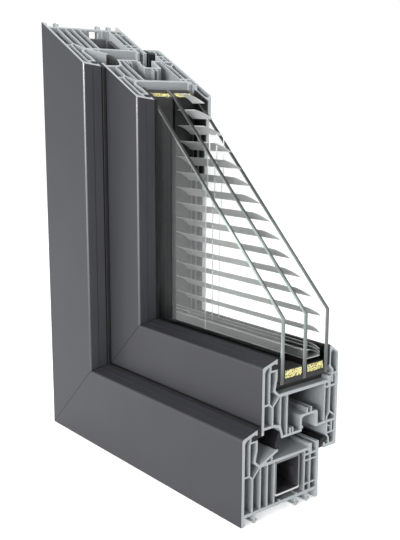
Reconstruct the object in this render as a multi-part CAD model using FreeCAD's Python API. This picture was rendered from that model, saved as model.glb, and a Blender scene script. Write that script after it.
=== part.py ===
"""Corner sample of a window: frame and sash profiles, insulating glazing and a slatted blind in its cavity.

Millimetres. X runs along the bottom rails from the mitred corner to the square cut, Y from the outdoor
face to the room, and Z up. Each profile section is drawn once, in depth (Y) and distance from the outer
perimeter (W). It makes both a rail along X and an upright along Z, which meet in a mitre at the corner.
The origin is at the middle of the sample's base.
"""
import FreeCAD, Part
import math
import os

V = FreeCAD.Vector

# The sample and its cuts
rail_length = 273.4
upright_height = 379.6
top_cut_angle = 29.0

# The outdoor flange, the same on frame and sash, from its face and its lip
bevel_reach = 15.0
bevel_rise = 4.5
bevel_radius = 2.0
lip_wall = 1.6
lip_drop = 4.1
seal_groove = 4.0
groove_back = 8.2
flange_step = 0.3
flange_wall = 1.8
flange_run = 8.0
waist_reach = 13.4
waist_rise = 3.8
flange_foot = 18.6
face_chamber = 7.4
knee_reach = 10.8
knee_drop = 9.0
cross_web_drop = 6.0

# Frame profile, depths from the outdoor face and heights from the outer perimeter
frame_depth = 82.0
frame_face = 69.0
frame_wall = 2.6
frame_web = 1.3
foot_height = 7.0
foot_wall = 2.6
foot_leg = 2.0
foot_barb = 2.4
barb_reach = 2.0
front_foot = 13.2
middle_foot = 8.0
back_foot = 4.2
rebate_floor = 45.0
rebate_wall = 2.3
first_web = 10.8
second_web = 18.7
third_web = 25.9
steel_chamber = 34.0
room_chambers = 16.4
room_web = 9.3
low_cross_web = 15.0
high_cross_web = 10.4
chamber_rib = 1.2
ramp_start = 17.2
ramp_rise = 7.6
ramp_wall = 2.0
ramp_nose = 1.3
stop_rise = 2.9
stop_width = 3.3
stop_distance = 7.8
stop_groove_drop = 4.6
ramp_rib = 3.6
ramp_foot_rib = 9.0
fixing_slot_start = 44.0
fixing_slot_width = 10.0
fixing_slot_height = 10.0
fixing_slot_drop = 6.6

# Steel reinforcement in the frame
steel_height = 28.2
steel_wall = 1.5
steel_radius = 2.2
steel_play = 0.1
steel_side_gap = 4.9
steel_setback = 5.0

# Sash profile, placed from the frame: outdoor side from its face, room side from its room face
sash_gap = 4.0
sash_overlap = 1.5
sash_stand = 20.0
sash_face = 52.0
sash_wall = 2.5
sash_room_wall = 2.6
sash_web = 1.4
sash_drip = 5.6
sash_base = 7.2
sash_base_wall = 2.0
sash_floor = 28.6
sash_floor_wall = 2.5
sash_skirt = 27.6
sash_seat = 3.2
slope_start = 13.0
slope_foot = 20.0
slope_end = 22.6
narrow_web = 11.3
middle_web = 19.3
main_chamber = 27.1
main_chamber_room = 15.5
groove_far = 42.0
groove_near = 22.2
hardware_depth = 9.8
hardware_wall = 2.0
screw_rib = 4.2
far_screw_rib = 34.2
near_screw_rib = 29.8
first_floor_rib = 3.1
second_floor_rib = 5.9
bead_groove_width = 5.6
bead_groove_depth = 4.8
bead_seat_width = 2.9
skirt_reach = 14.4
skirt_web = 11.2
skirt_inner_web = 5.6
skirt_height = 11.6
skirt_corner = 8.2
skirt_ledge = 3.8
skirt_knee = 2.8

# Glazing unit
glass = 4.0
glass_clearance = 6.6
glass_seat = 18.5
edge_cover = 3.4
spacer_height = 7.4
spacer_inset = 0.2
glazing_drop = 3.1
glazing_top_width = 10.6
bend_height = 153.6
packer_setback = 7.0
packer_drop = 101.0
packer_margin = 0.8

# Glazing bead
bead_depth = 12.5
bead_height = 25.0
bead_wall = 1.5
bead_chamfer = 7.7
bead_seating = 0.3
bead_setback = 0.4
bead_lean = 2.0

# Seals
seal_contact = 0.1
seal_play = 0.3
seal_lip = 1.0
glass_seal_sink = 0.8
middle_seal_bend = 4.6
middle_seal_lip = 4.8
skirt_seal_top = 9.6
skirt_seal_shoulder = 8.0
skirt_seal_foot = 5.5
skirt_seal_nose = 4.2

# Slatted blind in the room-side cavity
slat_edge_gap = 2.8
slat_crown = 1.0
slat_thickness = 0.3
slat_tilt = 28.0
slat_pitch = 13.3
slat_side_gap = 0.4
slat_end_gap = 2.8
slat_overhang = 12.2
slat_bend_drop = 2.9
slat_shortest = 4.0
slat_hole_length = 3.0
first_slat_rise = 16.5
stack_pitch = 2.4
stack_count = 1
blind_rail_front = 7.6
blind_rail_back = 2.7
blind_rail_wall = 0.6
blind_rail_gap = 2.9
cord_inset = 41.5
cord_radius = 0.4
cord_play = 0.15
cord_top_reach = 3.0

# Values worked out from the sizes above
top_slope = math.tan(math.radians(top_cut_angle))
sash_y = bevel_reach + sash_gap
sash_z = frame_face - sash_overlap
room_y = frame_depth + sash_stand
sash_low = sash_z - sash_base
skirt_low = sash_z - sash_skirt
floor_z = sash_z + sash_floor
groove_y = room_y - sash_room_wall - bead_groove_width
bead_base = floor_z + sash_seat + bead_seating
bead_top = bead_base + bead_height
glass_y = sash_y + glass_seat
glass_z = floor_z + glass_clearance
unit_back = room_y - bead_depth
cavity = (unit_back - glass_y - 3 * glass) / 2
pane_y = [glass_y + place * (glass + cavity) for place in range(3)]
spacer_inner = glass_z + edge_cover + spacer_height
glazing_end = upright_height - glazing_drop
glazing_shoulder = glass_z + glazing_top_width
shoulder_height = glazing_end - top_slope * glazing_shoulder
steel_chamber_end = frame_depth - room_chambers
slat_front = pane_y[1] + glass + slat_edge_gap
slat_back = pane_y[2] - slat_edge_gap
slat_middle = (slat_front + slat_back) / 2
slat_angle = math.radians(slat_tilt)
slat_width = (slat_back - slat_front) / math.cos(slat_angle)
slat_start = spacer_inner + slat_side_gap
slat_last = rail_length - slat_end_gap
slat_bend = bend_height - slat_bend_drop
slat_slope = (shoulder_height - slat_bend) / (slat_last - glazing_shoulder - slat_overhang)
blind_rail_low = spacer_inner + blind_rail_gap
cord_x = spacer_inner + cord_inset
long_run = 2 * (rail_length + upright_height)


def offset_side(points, distance):
    """Shifts a path to its left by distance, keeping its bends' centres, as (y, w, radius) points."""
    shifted = []
    for index, (y, w, radius) in enumerate(points):
        normals = []
        for start, end in ((index - 1, index), (index, index + 1)):
            if start >= 0 and end < len(points):
                step_y = points[end][0] - points[start][0]
                step_w = points[end][1] - points[start][1]
                length = math.hypot(step_y, step_w)
                normals.append((-step_w / length, step_y / length))
        first = normals[0]
        last = normals[-1]
        share = distance / (1 + first[0] * last[0] + first[1] * last[1])
        turn = first[0] * last[1] - first[1] * last[0]
        if radius > 0:
            radius = max(0.0, radius - math.copysign(distance, turn * distance) * math.copysign(1, distance))
        shifted.append((y + share * (first[0] + last[0]), w + share * (first[1] + last[1]), radius))
    return shifted


def corner_arc(corner, before, after, radius):
    """The arc that rounds a corner between two directions, with its start and end."""
    half_angle = before.getAngle(after) / 2
    reach = min(radius / math.tan(half_angle), 0.49 * before.Length, 0.49 * after.Length)
    true_radius = reach * math.tan(half_angle)
    start = corner + before.normalize() * reach
    end = corner + after.normalize() * reach
    middle = corner + (before + after).normalize() * (true_radius / math.sin(half_angle) - true_radius)
    return start, end, Part.Arc(start, middle, end).toShape()


def loop_face(points):
    """A flat face in the plane X = 0 from (y, w, radius) corners, each rounded by an arc of its radius."""
    turns = sum(a[0] * b[1] - b[0] * a[1] for a, b in zip(points, points[1:] + points[:1]))
    if turns < 0:
        points = points[::-1]
    bends = []
    for index, (y, w, radius) in enumerate(points):
        corner = V(0, y, w)
        before = V(0, *points[index - 1][:2]) - corner
        after = V(0, *points[(index + 1) % len(points)][:2]) - corner
        straight = math.pi - before.getAngle(after) < 0.02
        bends.append((corner, corner, None) if radius <= 0 or straight
                     else corner_arc(corner, before, after, radius))
    edges = []
    for index, (start, end, arc) in enumerate(bends):
        previous_end = bends[index - 1][1]
        if previous_end.distanceToPoint(start) > 1e-6:
            edges.append(Part.LineSegment(previous_end, start).toShape())
        if arc is not None:
            edges.append(arc)
    return Part.Face(Part.Wire(edges))


def with_radii(points):
    """Gives each (y, w) point of a path a radius of nothing where it has none."""
    return [tuple(point) + (0.0,) * (3 - len(point)) for point in points]


def wall(points, thickness, left=0.0):
    """A wall of even thickness to the right of a path, or partly to its left."""
    path = with_radii(points)
    left_side = offset_side(path, left) if left else path
    right_side = offset_side(path, left - thickness)
    return loop_face(left_side + right_side[::-1])


def web(points, thickness):
    """A wall with its path along the middle."""
    return wall(points, thickness, thickness / 2)


def upright_web(y, low, high, thickness):
    """A web at one depth, between two distances from the perimeter."""
    return web([(y, low), (y, high)], thickness)


def block(points):
    """A solid area between the given corners."""
    return loop_face(with_radii(points))


def rectangle(y_start, y_end, w_start, w_end):
    """A plain rectangular section."""
    return block([(y_start, w_start), (y_end, w_start), (y_end, w_end), (y_start, w_end)])


def section(pieces):
    """Joins the walls of one profile into one face with its chambers open."""
    joined = pieces[0].multiFuse(pieces[1:]).removeSplitter()
    return joined.Faces[0]


def prism(outline, start, end):
    """A block over a flat outline of (x, z) points, from one depth to another."""
    corners = [V(x, start, z) for x, z in outline]
    return Part.Face(Part.makePolygon(corners + corners[:1])).extrude(V(0, end - start, 0))


def full_prism(outline):
    """A block over a flat outline that reaches past every profile's depth."""
    return prism(outline, -room_y, 2 * room_y)


def pair(face, rail_end=rail_length, upright_end=upright_height):
    """The rail and the upright that one section makes, cut at the mitre and at their free ends."""
    meet = upright_end / (1 + top_slope)
    rail_space = full_prism([(0, 0), (rail_end, 0), (rail_end, rail_length), (rail_length, rail_length)])
    upright_space = full_prism([(0, 0), (meet, meet), (0, upright_end)])
    run = face.extrude(V(long_run, 0, 0))
    return run.common(rail_space), run.mirror(V(0, 0, 0), V(1, 0, -1)).common(upright_space)


def save(name, shape):
    """Writes one sub-part, moved so that the middle of the sample's base is the origin."""
    placed = shape.copy()
    placed.translate(V(-rail_length / 2, -room_y / 2, 0))
    placed.exportStep("parts/" + name + ".step")


def save_pair(name, shapes):
    """Writes the rail and the upright of one section."""
    for suffix, shape in zip(("_rail", "_upright"), shapes):
        save(name + suffix, shape)


def flange(y, lip_w, floor, wall_thickness, web_thickness):
    """The outdoor flange of a profile: face wall, bevel, seal groove and the webs behind them."""
    face_w = lip_w - bevel_rise
    lip_y = y + bevel_reach
    slope = bevel_rise / bevel_reach
    short = wall_thickness * math.sin(math.atan(slope))
    groove_floor = lip_w - lip_drop - seal_groove
    rebate_y = lip_y + flange_step
    return [
        wall([(y, floor), (y, face_w, bevel_radius), (lip_y - short, lip_w - short * slope)], wall_thickness),
        block([(lip_y - lip_wall, lip_w - lip_drop), (lip_y, lip_w - lip_drop), (lip_y, lip_w),
               (lip_y - lip_wall, lip_w - lip_wall * slope)]),
        web([(y + groove_back, lip_w - 2.0), (y + groove_back, groove_floor),
             (y + face_chamber, groove_floor - 2.0), (y + face_chamber, floor - cross_web_drop),
             (y + knee_reach, floor - knee_drop),
             (y + ramp_start + 0.8, floor - rebate_wall + 0.8)], web_thickness),
        web([(y + groove_back, groove_floor - web_thickness / 2), (lip_y, groove_floor - web_thickness / 2)],
            web_thickness),
        wall([(rebate_y, groove_floor), (rebate_y, groove_floor - flange_run, 2.0),
              (y + waist_reach, floor + waist_rise, 2.0), (y + flange_foot, floor - 1.0)], flange_wall),
        web([(y + wall_thickness / 2, floor - cross_web_drop), (y + face_chamber, floor - cross_web_drop)],
            web_thickness),
    ]


def barbed_foot(y):
    """One foot under the bottom wall, with a barb on each side that clips into a sill profile."""
    half = foot_leg / 2
    return [
        upright_web(y, 0, foot_height + foot_wall / 2, foot_leg),
        block([(y - half - barb_reach, foot_barb), (y - half, 0), (y + half, 0),
               (y + half + barb_reach, foot_barb)]),
    ]


def frame_base():
    """The face wall's tail, the bottom wall, the room wall and the feet."""
    top = rebate_floor + stop_rise
    base = foot_height + foot_wall
    tail = frame_wall + 1.4
    pieces = [
        rectangle(0, frame_wall, 0, rebate_floor),
        wall([(frame_wall / 2, base), (frame_depth - frame_wall / 2, base)], foot_wall),
        wall([(frame_depth, top, 0.8), (frame_depth, 0)], frame_wall),
        block([(frame_wall / 2, 0), (frame_wall, 0), (tail, foot_barb), (frame_wall / 2, foot_barb + 1.2)]),
    ]
    for y in (front_foot, steel_chamber_end - middle_foot, steel_chamber_end + back_foot):
        pieces += barbed_foot(y)
    return pieces


def frame_ramp():
    """The ramp on the rebate floor, whose rounded nose carries the middle seal."""
    nose_y = steel_chamber + ramp_nose
    top = rebate_floor + ramp_rise
    return [
        web([(ramp_start, rebate_floor - rebate_wall / 2), (nose_y, top - ramp_wall / 2)], ramp_wall),
        block([(nose_y - 2 * ramp_nose, top - ramp_wall - 0.4), (nose_y - ramp_nose, top - 0.2),
               (nose_y + ramp_nose, top + 0.3, 0.8), (nose_y + ramp_nose, top - ramp_wall, 0.8)]),
        upright_web(steel_chamber - ramp_rib, rebate_floor - 1.0, top - ramp_wall - 1.0, frame_web),
        rectangle(steel_chamber - ramp_foot_rib - 3.0, steel_chamber - ramp_foot_rib, rebate_floor - 1.0,
                  rebate_floor + 1.2),
    ]


def frame_stop():
    """The stop block and the grooved room wall that the sash's hardware strikes are screwed beside."""
    stop_y = frame_depth - stop_distance - stop_width
    groove_floor = rebate_floor - stop_groove_drop
    top = rebate_floor + stop_rise
    hook = frame_depth - frame_wall - 1.0
    return [
        block([(stop_y, groove_floor - 1.0), (stop_y, top, 0.8), (stop_y + stop_width, top, 0.8),
               (stop_y + stop_width, groove_floor - 1.0)]),
        wall([(steel_chamber_end, groove_floor), (frame_depth - 1.0, groove_floor)], 1.7),
        rectangle(hook, frame_depth - 1.0, top - 1.5, top),
    ]


def frame_webs():
    """The webs that divide the frame into chambers."""
    base = foot_height + foot_wall / 2
    under_floor = rebate_floor - rebate_wall / 2
    last_web = steel_chamber_end + frame_web / 2
    pieces = [
        upright_web(first_web, base, rebate_floor - knee_drop, frame_web),
        upright_web(second_web, base, under_floor, frame_web),
        upright_web(third_web, base, under_floor, frame_web),
        upright_web(steel_chamber - frame_web / 2, base, under_floor, frame_web),
        upright_web(last_web, base, under_floor, frame_web),
        upright_web(frame_depth - room_web, base, rebate_floor - stop_groove_drop, frame_web),
    ]
    for w in (low_cross_web, rebate_floor - high_cross_web):
        pieces.append(web([(last_web, w), (frame_depth - 1.0, w)], frame_web))
    for y in (steel_chamber + 5.6, steel_chamber_end - 7.6):
        pieces.append(upright_web(y, base, foot_height + foot_wall + chamber_rib, frame_web))
    return pieces


def frame_section():
    """The frame profile, with its feet, steel chamber, ramp for the middle seal and hardware rebate."""
    floor = wall([(ramp_start, rebate_floor), (frame_depth - stop_distance - 1.0, rebate_floor)], rebate_wall)
    pieces = flange(0, frame_face + bevel_rise, rebate_floor, frame_wall, frame_web)
    return section(pieces + [floor] + frame_base() + frame_ramp() + frame_stop() + frame_webs())


def steel_section():
    """The folded steel tube in the frame's large chamber."""
    left = steel_chamber + steel_play
    right = steel_chamber_end - steel_side_gap
    top = rebate_floor - rebate_wall - steel_play
    bottom = top - steel_height
    outer = [(left, bottom), (left, top), (right, top), (right, bottom)]
    inner = [(left + steel_wall, bottom + steel_wall), (left + steel_wall, top - steel_wall),
             (right - steel_wall, top - steel_wall), (right - steel_wall, bottom + steel_wall)]
    return block([point + (steel_radius,) for point in outer]).cut(
        block([point + (steel_radius - steel_wall,) for point in inner])).Faces[0]


def sash_underside():
    """The sash's underside: the drip edge, the slope that the middle seal meets, and the hardware groove."""
    y0 = sash_y
    base = sash_low + sash_base_wall
    drip = sash_z + sash_drip
    left = room_y - groove_far
    right = room_y - groove_near
    top = base + hardware_depth + hardware_wall
    inner = room_y - sash_room_wall / 2
    return [
        rectangle(y0, y0 + sash_wall, sash_z, floor_z),
        wall([(y0 + sash_wall / 2, drip), (y0 + slope_start, drip, 1.0), (y0 + slope_foot, sash_z + 3.6, 1.0),
              (y0 + slope_end, base, 1.5), (left + 1.4, base)], sash_base_wall),
        wall([(left, sash_low), (left, top, 0.8), (right, top, 2.5), (right, sash_low)], hardware_wall),
        block([(left + 1.0, base), (left + 3.6, base + 0.5), (left + 3.4, base + 2.2),
               (left + 1.0, base + 2.8)]),
        wall([(right - hardware_wall, base), (inner, base)], sash_base_wall),
        upright_web(room_y - far_screw_rib, top - 1.0, top + screw_rib, sash_web),
        upright_web(room_y - near_screw_rib, top - 1.0, top + screw_rib, sash_web),
        upright_web(y0 + main_chamber + first_floor_rib, base - 1.0, base + screw_rib, sash_web),
        upright_web(y0 + main_chamber + second_floor_rib, base - 1.0, base + screw_rib, sash_web),
    ]


def sash_webs():
    """The webs that divide the sash into chambers."""
    base = sash_low + sash_base_wall / 2
    under_floor = floor_z - sash_floor_wall / 2
    knee = room_y - bead_groove_width - 3.4
    left = room_y - skirt_web
    return [
        upright_web(sash_y + narrow_web, sash_z + sash_drip - 1.0, floor_z - knee_drop, sash_web),
        upright_web(sash_y + middle_web, sash_z + 3.2, under_floor, sash_web),
        upright_web(sash_y + main_chamber - sash_web / 2, base, under_floor, sash_web),
        upright_web(room_y - main_chamber_room + sash_web / 2, base, under_floor, sash_web),
        web([(knee, floor_z - bead_groove_depth - 0.9), (knee, base + skirt_corner),
             (room_y - 1.5, base + skirt_knee)], sash_web),
        web([(knee, base + skirt_corner - 0.8), (left - 0.4, base + skirt_ledge),
             (left - 0.4, base)], sash_web),
    ]


def sash_bead_groove():
    """The groove that the bead's leg clips into, between the hooked seat and the room wall."""
    groove_floor = floor_z - bead_groove_depth
    return [
        rectangle(groove_y - bead_seat_width, groove_y, groove_floor - 1.0, floor_z + 2.8),
        block([(groove_y - 0.8, floor_z + 2.8), (groove_y + 0.8, floor_z + 2.4),
               (groove_y + 0.7, floor_z + 1.4), (groove_y - 0.8, floor_z + 1.0)]),
        wall([(room_y - main_chamber_room, groove_floor), (room_y - 1.0, groove_floor)], 1.8),
        rectangle(room_y - 3.0, room_y - 1.0, floor_z + sash_seat - 2.4, floor_z + sash_seat),
    ]


def sash_skirt_walls():
    """The room wall, and the skirt under it with the groove of the seal that closes on the frame."""
    base = sash_low + sash_base_wall / 2
    top = skirt_low + skirt_height
    left = room_y - skirt_web
    inner = room_y - skirt_inner_web
    return [
        wall([(room_y - 1.0, floor_z + sash_seat), (room_y, floor_z + sash_seat, 0.8),
              (room_y, skirt_low, 1.0), (room_y - skirt_reach, skirt_low)], sash_room_wall),
        upright_web(room_y - skirt_reach + 0.8, skirt_low + 1.0, skirt_low + 4.4, 1.6),
        web([(left, base), (left, top), (room_y - 1.0, top)], sash_web),
        upright_web(inner, base, top, sash_web),
        web([(left - 0.9, top - 0.2), (left + 2.2, top - 4.2, 2.0), (left + 3.4, skirt_low + 1.0)], sash_web),
        web([(left, top + 6.6), (inner, top + 4.4)], 1.0),
    ]


def sash_section():
    """The sash profile, with its glazing rebate, hardware groove, bead groove and room-side skirt."""
    floor = wall([(sash_y + ramp_start, floor_z), (groove_y - 1.0, floor_z)], sash_floor_wall)
    pieces = flange(sash_y, sash_z + sash_face + bevel_rise, floor_z, sash_wall, sash_web)
    pieces += [floor] + sash_underside() + sash_webs()
    return section(pieces + sash_bead_groove() + sash_skirt_walls())


def bead_section():
    """The clip-in glazing bead with its hooked leg."""
    front = room_y - bead_setback
    back = unit_back + bead_lean
    leg = groove_y + 1.9
    foot = floor_z - 3.0
    return section([
        wall([(leg - bead_wall / 2, bead_base), (leg - bead_wall / 2, bead_base + 3.4),
              (back, bead_base + 7.0, 1.5), (back, bead_top, 0.8), (front, bead_top - bead_chamfer, 2.5),
              (front, bead_base)], bead_wall),
        wall([(leg - bead_wall, bead_base + bead_wall), (front - 0.3, bead_base + bead_wall)], bead_wall),
        upright_web(leg, foot, bead_base + 1.0, bead_wall),
        block([(leg - 0.3, foot), (leg - 0.3, floor_z + 0.8), (groove_y + 0.5, floor_z + 0.4),
               (groove_y + 0.5, floor_z - 1.0)]),
    ])


def lip_seal(y, lip_w, face, low, rise):
    """A seal in a flange's groove: its lip rises by a distance over the flange and closes on a face."""
    top = lip_w - lip_drop - seal_contact
    bottom = lip_w - lip_drop - seal_groove + seal_contact
    back = y + groove_back + 1.0
    lip_y = y + bevel_reach
    swell = lip_y + flange_step + seal_contact
    return block([(back, bottom), (back, top - 0.8), (back + 3.0, top), (lip_y + seal_contact, top),
                  (lip_y + seal_lip, lip_w + rise, 0.5), (face - seal_contact, lip_w + rise + seal_lip, 0.5),
                  (face - seal_contact, low, 0.8), (swell, low + seal_lip, 0.5), (swell, bottom)])


def frame_seal_section():
    """The seal in the frame's lip that the sash face closes on."""
    return lip_seal(0, frame_face + bevel_rise, sash_y, sash_z - 1.0, seal_lip)


def outer_glass_seal_section():
    """The seal between the sash's lip and the outdoor pane."""
    return lip_seal(sash_y, sash_z + sash_face + bevel_rise, glass_y, glass_z + 2.0, -glass_seal_sink)


def middle_seal_section():
    """The seal on the frame's ramp that closes against the sloping side of the sash."""
    nose_y = steel_chamber + ramp_nose
    top = rebate_floor + ramp_rise + seal_play
    side = sash_y + slope_foot
    high = sash_z + 0.2
    return block([(nose_y - ramp_nose, top), (nose_y - 2.4, top + middle_seal_bend, 2.0),
                  (side - 1.5, high, 0.6), (side, high - middle_seal_lip, 0.8),
                  (nose_y + 3.2, top + middle_seal_bend - 1.0, 1.0),
                  (nose_y + ramp_nose, top + 0.2)])


def sash_seal_section():
    """The seal in the sash's skirt that closes on the frame's room face."""
    left = room_y - skirt_web
    face = frame_depth + seal_contact
    top = skirt_low + skirt_seal_top
    shoulder = skirt_low + skirt_seal_shoulder
    foot = skirt_low + skirt_seal_foot
    tip = skirt_low + 1.2
    return block([(left + 0.6, shoulder), (left - 2.0, top, 0.5), (face + 1.8, shoulder, 1.0),
                  (face, skirt_low + skirt_seal_nose, 0.8), (face, tip, 0.8), (face + 2.6, tip, 0.8),
                  (left - 3.6, foot, 0.6), (left + 0.6, foot)])


def inner_glass_seal_section():
    """The soft lip on the bead that presses on the room-side pane."""
    back = unit_back + bead_lean - seal_contact
    face = unit_back + seal_contact
    return block([(face, bead_top - 0.6), (back, bead_top + 0.3, 0.5), (back, glass_z + 6.0),
                  (face, glass_z + 5.0)])


def glazing_outline():
    """The panes' outline in X and Z: two edges in the rebate, a square end, the slanting cut and the top."""
    return [(glass_z, glass_z), (rail_length, glass_z), (rail_length, bend_height),
            (glazing_shoulder, shoulder_height), (glass_z, glazing_end - top_slope * glass_z)]


def make_panes():
    """The panes of the unit."""
    for name, y in zip(("outdoor_pane", "middle_pane", "room_pane"), pane_y):
        save(name, prism(glazing_outline(), y, y + glass))


def make_spacers():
    """The desiccant-filled spacers and the sealant outside them, in both cavities."""
    cover = glass_z + edge_cover
    for name, y in zip(("outdoor", "room"), (pane_y[0] + glass, pane_y[1] + glass)):
        spacer = rectangle(y + spacer_inset, y + cavity - spacer_inset, cover, spacer_inner)
        edge_seal = rectangle(y, y + cavity, glass_z, cover)
        save_pair(name + "_spacer", pair(spacer, upright_end=glazing_end))
        save_pair(name + "_edge_seal", pair(edge_seal, upright_end=glazing_end))


def make_packers():
    """The glazing packer under the unit and beside it."""
    face = rectangle(glass_y - packer_margin, unit_back + packer_margin, floor_z, glass_z)
    save_pair("glazing_packer", pair(face, rail_length - packer_setback, glazing_end - packer_drop))


def slat_face(w):
    """The section of one crowned slat, from its outdoor edge, tilted down towards the room."""
    half = slat_width / 2
    radius = (half ** 2 + slat_crown ** 2) / (2 * slat_crown)
    sweep = math.asin(half / radius)
    inner_half = (radius - slat_thickness) * math.sin(sweep)
    inner_rise = (radius - slat_thickness) * math.cos(sweep) - (radius - slat_crown)

    def spot(along, up):
        cos = math.cos(slat_angle)
        sin = math.sin(slat_angle)
        return V(0, slat_front + along * cos + up * sin, w + up * cos - along * sin)

    return Part.Face(Part.Wire([
        Part.Arc(spot(0, 0), spot(half, slat_crown), spot(slat_width, 0)).toShape(),
        Part.LineSegment(spot(slat_width, 0), spot(half + inner_half, inner_rise)).toShape(),
        Part.Arc(spot(half + inner_half, inner_rise), spot(half, slat_crown - slat_thickness),
                 spot(half - inner_half, inner_rise)).toShape(),
        Part.LineSegment(spot(half - inner_half, inner_rise), spot(0, 0)).toShape(),
    ]))


def slat_line(x):
    """How high the slats' slanting end cut is at a place along X."""
    return slat_bend + (slat_last - x) * slat_slope


def slat_heights():
    """The heights of the slats' outdoor edges: a stack above the blind's rail, then open slats to the cut."""
    lowest_open = spacer_inner + first_slat_rise
    heights = [lowest_open - (stack_count - index) * stack_pitch for index in range(stack_count)]
    open_count = int((slat_line(slat_start + slat_shortest) - lowest_open) / slat_pitch) + 1
    return heights + [lowest_open + index * slat_pitch for index in range(open_count)]


def make_slats():
    """The slats, cut off along the slanting line, with a slot for the lift cord where they reach it."""
    half_width = cord_radius + cord_play
    slot = Part.makeBox(2 * half_width, slat_hole_length, upright_height,
                        V(cord_x - half_width, slat_middle - slat_hole_length / 2, 0))
    space = full_prism([(0, 0), (slat_last, 0), (slat_last, slat_bend), (slat_start, slat_line(slat_start)),
                        (0, slat_line(slat_start))])
    for index, height in enumerate(slat_heights()):
        face = slat_face(height)
        face.translate(V(slat_start, 0, 0))
        slat = face.extrude(V(rail_length, 0, 0)).common(space)
        save("slat_{:02d}".format(index + 1), slat.cut(slot))


def blind_rail_face(inset):
    """The blind rail's section, its crowned top tilted like the slats, made smaller all round by an inset."""
    front = slat_front + inset
    back = slat_back - inset
    low = blind_rail_low + inset
    front_top = blind_rail_low + blind_rail_front - inset
    back_top = blind_rail_low + blind_rail_back - inset
    return loop_face([(front, low, 0.3), (back, low, 0.3), (back, back_top, 0.3),
                      (slat_middle, (front_top + back_top) / 2 + slat_crown, 9.0), (front, front_top, 0.3)])


def make_blind_rail():
    """The hollow rail that the slats hang down to."""
    face = blind_rail_face(0.0).cut(blind_rail_face(blind_rail_wall)).Faces[0]
    face.translate(V(slat_start, 0, 0))
    save("blind_rail", face.extrude(V(slat_last - slat_start, 0, 0)))


def make_blind_cords():
    """The lift cord, from the blind's rail up through the slats, and the two ladder cords at their edges."""
    high = slat_line(cord_x) + cord_top_reach
    beside = cord_radius + cord_play
    rail_top = blind_rail_low + (blind_rail_front + blind_rail_back) / 2 + slat_crown
    places = (("lift_cord", slat_middle, rail_top),
              ("ladder_cord_front", slat_front - beside, blind_rail_low),
              ("ladder_cord_back", slat_back + beside, blind_rail_low))
    for name, y, low in places:
        save(name, Part.makeCylinder(cord_radius, high - low, V(cord_x, y, low)))


def fixing_slot():
    """The cut-out in the upright's outer wall, near the top."""
    high = upright_height - fixing_slot_drop
    depth = foot_height + foot_wall + 0.2
    return Part.makeBox(depth + 1.0, fixing_slot_width, fixing_slot_height,
                        V(-1.0, fixing_slot_start, high - fixing_slot_height))


os.makedirs("parts", exist_ok=True)
frame_rail, frame_upright = pair(frame_section())
save_pair("frame", (frame_rail, frame_upright.cut(fixing_slot())))
save_pair("frame_steel", pair(steel_section(), upright_end=upright_height - steel_setback))
save_pair("sash", pair(sash_section()))
save_pair("glazing_bead", pair(bead_section()))
save_pair("frame_seal", pair(frame_seal_section()))
save_pair("middle_seal", pair(middle_seal_section()))
save_pair("sash_seal", pair(sash_seal_section()))
save_pair("outer_glass_seal", pair(outer_glass_seal_section()))
save_pair("inner_glass_seal", pair(inner_glass_seal_section()))
make_panes()
make_spacers()
make_packers()
make_slats()
make_blind_rail()
make_blind_cords()
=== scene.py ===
"""Looks of a window corner sample: two-tone profiles, seals, steel, sealed glazing and a slatted blind.

All lengths are in metres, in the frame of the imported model: +X along the bottom rail from the mitred corner
to the square cut, +Y from outdoors to the room, and +Z up. The origin is at the middle of the sample's base.
"""

import logging
import math
from dataclasses import dataclass
from enum import Enum, IntEnum
from functools import cached_property
from typing import Iterable

import bmesh
import bpy
from mathutils import Matrix, Vector


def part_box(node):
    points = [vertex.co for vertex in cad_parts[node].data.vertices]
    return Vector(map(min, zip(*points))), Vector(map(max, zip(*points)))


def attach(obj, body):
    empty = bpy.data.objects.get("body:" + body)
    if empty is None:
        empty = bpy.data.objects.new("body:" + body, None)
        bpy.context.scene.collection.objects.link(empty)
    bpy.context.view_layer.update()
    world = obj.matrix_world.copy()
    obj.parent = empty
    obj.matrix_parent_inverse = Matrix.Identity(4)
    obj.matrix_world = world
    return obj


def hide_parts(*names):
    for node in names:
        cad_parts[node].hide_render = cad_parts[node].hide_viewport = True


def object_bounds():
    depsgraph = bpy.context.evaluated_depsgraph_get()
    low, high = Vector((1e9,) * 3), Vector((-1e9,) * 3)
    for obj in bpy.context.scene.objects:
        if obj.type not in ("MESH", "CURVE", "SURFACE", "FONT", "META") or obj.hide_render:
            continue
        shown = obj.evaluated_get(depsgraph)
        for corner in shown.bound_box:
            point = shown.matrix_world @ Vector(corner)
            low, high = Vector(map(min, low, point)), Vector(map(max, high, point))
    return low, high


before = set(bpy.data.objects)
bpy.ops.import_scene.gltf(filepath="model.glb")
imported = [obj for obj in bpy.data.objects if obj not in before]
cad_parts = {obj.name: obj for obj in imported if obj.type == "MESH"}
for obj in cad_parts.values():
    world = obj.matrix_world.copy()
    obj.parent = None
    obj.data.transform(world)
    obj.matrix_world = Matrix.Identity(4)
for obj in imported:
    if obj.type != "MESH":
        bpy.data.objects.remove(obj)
cad_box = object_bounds()

logging.basicConfig(level=logging.INFO, format="%(name)s: %(message)s")
log = logging.getLogger("window_corner")

Colour = tuple[float, float, float]
Point = tuple[float, float, float]
Ends = tuple[float, float]
Socket = bpy.types.NodeSocket
MM = 0.001
BODY = "root"
TOP_CUT_ANGLE = math.radians(29.0)
NEAR = 0.05 * MM
PARALLEL = 0.999
BEAD_TONE = "tone"
MOTTLE = (0.3, 0.7)
WHITE = (1.0, 1.0, 1.0)


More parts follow.
